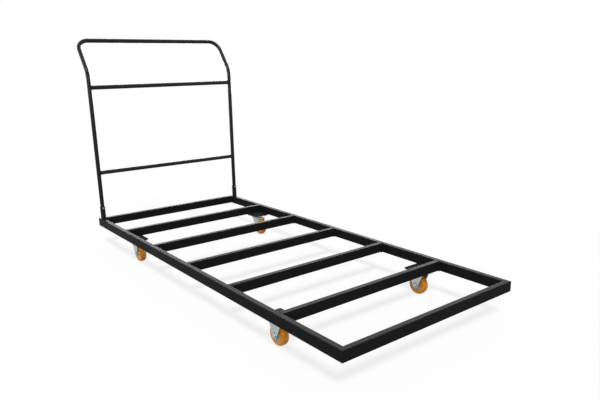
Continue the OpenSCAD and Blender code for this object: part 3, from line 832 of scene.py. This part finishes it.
def fork_strip(sizes, axle, top, front, rear, half, at):
    """Sheet that runs up one leg, over the crown and down the other. Across it, a rounded section of
    the sheet's thickness spans from the front edge to the rear edge: a straight edge that meets the
    eye's circle at a tangent. Near its edges the leg rolls inwards by the lip. It also gives a mask of
    painted shade on the sheet's edges and round the axle."""
    lip_starts, lip_full, lip_fades, lip_ends, lip_width = 0.009, 0.026, 0.016, 0.005, 0.006
    unshaded_crown, ring_dark, ring_clear, edge_shade_gain = 0.006, 0.0088, 0.0112, 1.6
    widest_soft, foot_taper, foot_least = 0.9, 0.6, 0.04
    h, eye = sizes.sheet / 2, sizes.eye
    x, z, nx, nz = fork_line(h, eye, axle, top, half)
    depth = axle[1] - at[1]
    edges = []
    for reach, sign in ((-front, 1), (rear, -1)):
        away = np.array([reach - depth, top - axle[2]])
        turn = math.atan2(away[1], away[0]) + sign * math.acos(eye / np.hypot(*away))
        touch = np.array([depth, axle[2]]) + eye * np.array([math.cos(turn), math.sin(turn)])
        straight = touch[0] + (z - touch[1]) * (reach - touch[0]) / (top - touch[1])
        bow = np.sqrt(np.maximum(eye ** 2 - (z - axle[2]) ** 2, 0))
        circle = depth + math.copysign(1, reach - depth) * bow
        edges.append(np.where(z > touch[1], straight, circle))
    mid, width = (edges[0] + edges[1]) / 2, (edges[1] - edges[0]) / 2
    flat_y, soft_y, soft_t = sheet_section()
    soft = np.minimum(h, width * widest_soft)
    thin = np.sqrt(np.clip((z - (axle[2] - eye)) / (foot_taper * h), foot_least, 1))
    y = mid + flat_y * (width - soft) + soft_y * soft
    inset = width - np.abs(y - mid)
    fade = smooth_step(axle[2] + lip_starts, axle[2] + lip_full, z)
    fade = fade * (1 - smooth_step(top - lip_fades, top - lip_ends, z))
    lift = soft_t * h * thin - sizes.lip * (1 - smooth_step(0.0, lip_width, inset)) * fade
    grid = np.stack([x + nx * lift, y, z + nz * lift], -1)
    # Painted shade: dark sheet edges below the crown for the shadowed gap between leg and hub, and dark out
    # to about 9 to 11 mm from the axle as a painted shadow round the axle head
    edge_shade = np.clip(edge_shade_gain * (1 - np.abs(soft_t)), 0, 1) * (z < top - unshaded_crown)
    from_axle = np.hypot(y - depth, z - axle[2])
    painted_shade = np.maximum(edge_shade, 1 - smooth_step(ring_dark, ring_clear, from_axle))
    return shell(grid + np.array([at[0], at[1], 0])), painted_shade.ravel()


def swivel_disc(at, crown):
    """Round raceway disc on a swivel fork's crown, turned about the swivel axis from (height above
    the crown, radius) pairs."""
    bore, step_out, step_in, race_out, race_in = 0.0055, 0.0112, 0.0110, 0.0215, 0.0211
    edge, edge_round, edge_drop, below = 0.0225, 0.0015, 0.0016, 0.0031
    bevel, race_top, floor = 0.0014, 0.0018, 0.0001
    edge_points, segments = 9, 96
    rounded = arc(edge, -edge_drop, edge_round, -90, 90, edge_points)[:, ::-1]
    inside = [[bevel, race_out], [race_top, race_in], [race_top, step_out], [floor, step_in],
              [floor, bore]]
    profile = np.concatenate([[[-below, bore]], rounded, inside])
    return shell(turned(np.array([at[0], at[1], crown]), profile, segments, upright=True), ring=True)


class TROLLEY_OT_forks(TrolleyOperator, bpy.types.Operator):
    """Presses the four forks from sheet, with rolled edges, and adds their plates and swivel discs"""
    bl_idname = "trolley.forks"
    bl_label = "Press the forks"

    def execute(self, context):
        colours, sizes = self.settings(context)
        race_height, front, swivel_rear = 0.0018, 0.040, 0.022
        plate_corner, plate_soft = 0.004, 0.0007
        for castor in CASTORS:
            node = f"{castor}_fork"
            axle = middle(f"{castor}_tread")
            low, high = low_high(node)
            half = half_size(f"{castor}_bush")[0]
            if swivels(castor):
                at, crown = middle(f"{castor}_top_plate"), high[2] - race_height
                strip, painted_shade = fork_strip(sizes, axle, crown, front, swivel_rear, half, at)
                top = swivel_disc(at, crown)
            else:
                at = middle(node)
                strip, painted_shade = fork_strip(sizes, axle, high[2], front, front, half, at)
                top = slab(at, *(high - low)[:2], plate_corner, high[2] - sizes.sheet, high[2], plate_soft)
            made = piece(f"{castor}_fork_pressing", [strip, top], fork_body(castor),
                         zinc_plate(colours), [node], crease=40)
            # The pressed strip carries the painted shade; the plate or disc gets none
            mark(made, "painted_shade", np.concatenate([painted_shade, np.zeros(len(made.data.vertices) - len(painted_shade))]))
        return {"FINISHED"}


def castor_screw(place):
    """Hexagon screw from below: its head and a shank up into the mounting plate."""
    flats, height, flange, radius, sides = 0.0100, 0.004, 0.0057, 0.0029, 24
    shank_middle, shank_end = 0.002, 0.0045
    line = np.array([place, place + shank_middle * ALONG_Z, place + shank_end * ALONG_Z])
    return [hex_head(place, (0, 0, -1), flats, height, flange), shell(sweep(line, ALONG_X, radius, sides))]


def dome_screw(x, face, z):
    """Domed screw that looks out of a socket's face: a short side, a dome of height rise sin and
    radius head cos, and a hexagon socket cut into it."""
    shank, head, sunk, side, rise, tallest = 0.0024, 0.0045, 0.0015, 0.0014, 0.0027, 0.004
    key_flats, key_depth, key_pole = 0.003, 0.0018, 0.05
    dome_end, dome_points, segments = 62, 9, 72
    t = full_turn(segments)
    dome = degrees(0, dome_end, dome_points)[1:]
    key = hexagon(t, key_flats)
    edge = side + rise * np.sin(dome[-1])
    rings = [(shank, -sunk), (head, -sunk), (head, side),
             *zip(head * np.cos(dome), side + rise * np.sin(dome)),
             (key, edge), (key, edge - key_depth), (key * key_pole, edge - key_depth)]
    r, out = stacked(rings, t)
    return shell(np.stack([x + r * np.cos(t), face - np.minimum(out, tallest), z + r * np.sin(t)], -1))


class TROLLEY_OT_fasteners(TrolleyOperator, bpy.types.Operator):
    """Makes the chamfered axle heads, nuts, castor screws and retaining screws"""
    bl_idname = "trolley.fasteners"
    bl_label = "Make the fasteners"

    def execute(self, context):
        colours, _ = self.settings(context)
        zinc = zinc_plate(colours)
        flats, sheet, shank, shank_sides = 0.013, 0.003, 0.00395, 32
        head_height, head_flange = 0.0053, 0.0082
        nut_height, nut_flange, nut_stub, nut_stub_length = 0.0075, 0.0080, 0.004, 0.0015
        screw_inset, screw_shade = 0.008, 0.6
        screws = []
        for castor in CASTORS:
            axle = middle(f"{castor}_tread")
            out = -1 if castor.endswith("left") else 1
            reach = out * (half_size(f"{castor}_bush")[0] + sheet) * ALONG_X
            head, back = axle + reach, axle - reach
            bar = sweep(np.array([back, (head + back) / 2, head]), ALONG_Z, shank, shank_sides)
            bolt = hex_head(head, (out, 0, 0), flats, head_height, head_flange)
            piece(f"{castor}_axle_bolt", [bolt, shell(bar)], fork_body(castor), zinc,
                  [f"{castor}_axle"])
            nut = hex_head(back, (-out, 0, 0), flats, nut_height, nut_flange, nut_stub, nut_stub_length)
            piece(f"{castor}_lock_nut", [nut], fork_body(castor), zinc, [f"{castor}_nut"])
            plate = f"{castor}_top_plate" if swivels(castor) else f"{castor}_fork"
            dx, dy = half_size(plate)[:2] - screw_inset
            x, y, _ = middle(plate)
            under = low_high(plate)[1][2] - sheet
            for sx, sy in ((-1, -1), (-1, 1), (1, -1), (1, 1)):
                screws += castor_screw(np.array([x + sx * dx, y + sy * dy, under]))
        piece("castor_bolts", screws, "chassis", zinc, ["castor_screws"])
        z = middle("socket_screws")[2]
        domes = [dome_screw(middle(node)[0], low_high(node)[0][1], z) for node in SOCKETS]
        made = piece("retaining_screws", domes, "chassis", zinc, ["socket_screws"])
        # The retaining screws are dimmed by 0.6 of the painted shade
        mark(made, "painted_shade", np.full(len(made.data.vertices), screw_shade))
        return {"FINISHED"}


def new_lamp(name, kind, place, back, **values):
    """Lamp at a place, with its back to a direction."""
    data = bpy.data.lights.new(name, kind)
    for key, value in values.items():
        setattr(data, key, value)
    made = stand(name, data)
    turn = Vector(back).to_track_quat("Z", "Y").to_matrix().to_4x4()
    made.matrix_world = Matrix.Translation(place) @ turn
    return made


def area_lamp(name, place, aim, width, height, watts, spared):
    """Area light that looks from place at aim, isn't seen by the camera itself and leaves the
    spared object unlit."""
    lamp = new_lamp(name, "AREA", place, Vector(place) - Vector(aim), shape="RECTANGLE", size=width,
                    size_y=height, energy=watts)
    lamp.visible_camera = False
    unlit = bpy.data.collections.new(f"{name}_unlit")
    unlit.objects.link(spared)
    unlit.collection_objects[0].light_linking.link_state = "EXCLUDE"
    lamp.light_linking.receiver_collection = unlit


def seen_rays(tree):
    """1 for rays of the camera, of a reflection or of a transmission."""
    path = add(tree, "ShaderNodeLightPath").outputs
    both = add(tree, "ShaderNodeMath", {0: path["Is Camera Ray"], 1: path["Is Glossy Ray"]},
               operation="MAXIMUM")
    return add(tree, "ShaderNodeMath", {0: both.outputs[0], 1: path["Is Transmission Ray"]},
               operation="MAXIMUM").outputs[0]


def studio_floor(colours, studio):
    """Matt floor with a glow that brings it to white, fading out to the white world round it."""
    far, fade_starts, fade_ends = 14.0, 1.3, 3.0
    mesh = bpy.data.meshes.new("floor")
    mesh.from_pydata([(-far, -far, 0), (far, -far, 0), (far, far, 0), (-far, far, 0)], [], [(0, 1, 2, 3)])
    made = stand("floor", mesh)
    material = bpy.data.materials.new("floor")
    material.use_nodes = True
    tree = material.node_tree
    tree.nodes.clear()
    matt = add(tree, "ShaderNodeBsdfDiffuse", {"Color": colours.floor})
    lift = product(tree, seen_rays(tree), studio.floor_lift)
    glow = add(tree, "ShaderNodeEmission", {"Strength": lift})
    both = add(tree, "ShaderNodeAddShader", {0: matt.outputs[0], 1: glow.outputs[0]})
    place = add(tree, "ShaderNodeTexCoord").outputs["Object"]
    away = add(tree, "ShaderNodeVectorMath", {0: place}, operation="LENGTH").outputs["Value"]
    fade = share_of(tree, away, fade_starts, fade_ends, interpolation_type="SMOOTHSTEP")
    clear = add(tree, "ShaderNodeBsdfTransparent").outputs[0]
    edge = add(tree, "ShaderNodeMixShader", {0: fade, 1: both.outputs[0], 2: clear})
    add(tree, "ShaderNodeOutputMaterial", {"Surface": edge.outputs[0]})
    mesh.materials.append(material)
    return made


def studio_world(studio):
    """White world that lights the object by the fill alone."""
    world = bpy.data.worlds.new("studio")
    world.use_nodes = True
    tree = world.node_tree
    tree.nodes.clear()
    strength = ranged(tree, seen_rays(tree), studio.fill, 1.0)
    white = add(tree, "ShaderNodeBackground", {"Color": (1, 1, 1, 1), "Strength": strength})
    add(tree, "ShaderNodeOutputWorld", {"Surface": white.outputs[0]})
    return world


def studio_camera(studio):
    """Camera turned by its heading, its dip and its roll."""
    lens = bpy.data.cameras.new("camera")
    lens.sensor_fit = "HORIZONTAL"
    lens.sensor_width = 36.0
    lens.lens = studio.lens
    lens.shift_y = studio.rise
    made = stand("camera", lens)
    a, d, k = studio.heading, studio.dip, studio.roll
    back = np.array([math.sin(a) * math.cos(d), -math.cos(a) * math.cos(d), math.sin(d)])
    right = np.cross(ALONG_Z, back)
    right /= np.linalg.norm(right)
    up = np.cross(back, right)
    rolled_right = math.cos(k) * right + math.sin(k) * up
    rolled_up = math.cos(k) * up - math.sin(k) * right
    turn = np.stack([rolled_right, rolled_up, back], -1)
    made.matrix_world = Matrix.Translation(studio.camera_at) @ Matrix(turn.tolist()).to_4x4()
    return made


class TROLLEY_OT_stage(TrolleyOperator, bpy.types.Operator):
    """Sets the floor, the lights and the camera"""
    bl_idname = "trolley.stage"
    bl_label = "Set the stage"

    def execute(self, context):
        scene = context.scene
        studio = scene.trolley.studio
        scene.view_settings.view_transform = "Standard"
        floor = studio_floor(scene.trolley.colours, studio)
        scene.world = studio_world(studio)
        for name, place, aim, width, height in LAMPS:
            area_lamp(name, place, aim, width, height, getattr(studio, name), floor)
        # Even light from one side that falls on the object and the floor alike and casts its shadow
        new_lamp("key_light", "SUN", (0, 0, 0), studio.key_from, energy=studio.key_light,
                 angle=studio.key_spread)
        scene.camera = studio_camera(studio)
        return {"FINISHED"}


OPERATORS = (TROLLEY_OT_finish, TROLLEY_OT_handle, TROLLEY_OT_welds, TROLLEY_OT_treads, TROLLEY_OT_hubs,
             TROLLEY_OT_forks, TROLLEY_OT_fasteners, TROLLEY_OT_stage)


class TROLLEY_PT_panel(bpy.types.Panel):
    """Sidebar panel that lists the trolley's steps and settings"""
    bl_label = "Trolley"
    bl_idname = "TROLLEY_PT_panel"
    bl_space_type = "VIEW_3D"
    bl_region_type = "UI"
    bl_category = "Trolley"

    def draw(self, context):
        for kind in OPERATORS:
            self.layout.operator(kind.bl_idname)
        trolley = context.scene.trolley
        for held in (trolley.colours, trolley.sizes, trolley.studio):
            box = self.layout.box()
            for name in held.__annotations__:
                box.prop(held, name)


CLASSES = (TrolleyColours, TrolleySizes, TrolleyStudio, TrolleySettings, *OPERATORS, TROLLEY_PT_panel)


def register():
    """Registers the classes and hangs the settings on the scene."""
    for kind in CLASSES:
        bpy.utils.register_class(kind)
    bpy.types.Scene.trolley = PointerProperty(type=TrolleySettings)


def unregister():
    """Takes the settings off the scene and unregisters the classes."""
    del bpy.types.Scene.trolley
    for kind in reversed(CLASSES):
        bpy.utils.unregister_class(kind)


def main():
    """Registers the classes and runs the operators in order."""
    register()
    for step in ("finish", "handle", "welds", "treads", "hubs", "forks", "fasteners", "stage"):
        getattr(bpy.ops.trolley, step)()


if __name__ == "__main__":
    main()
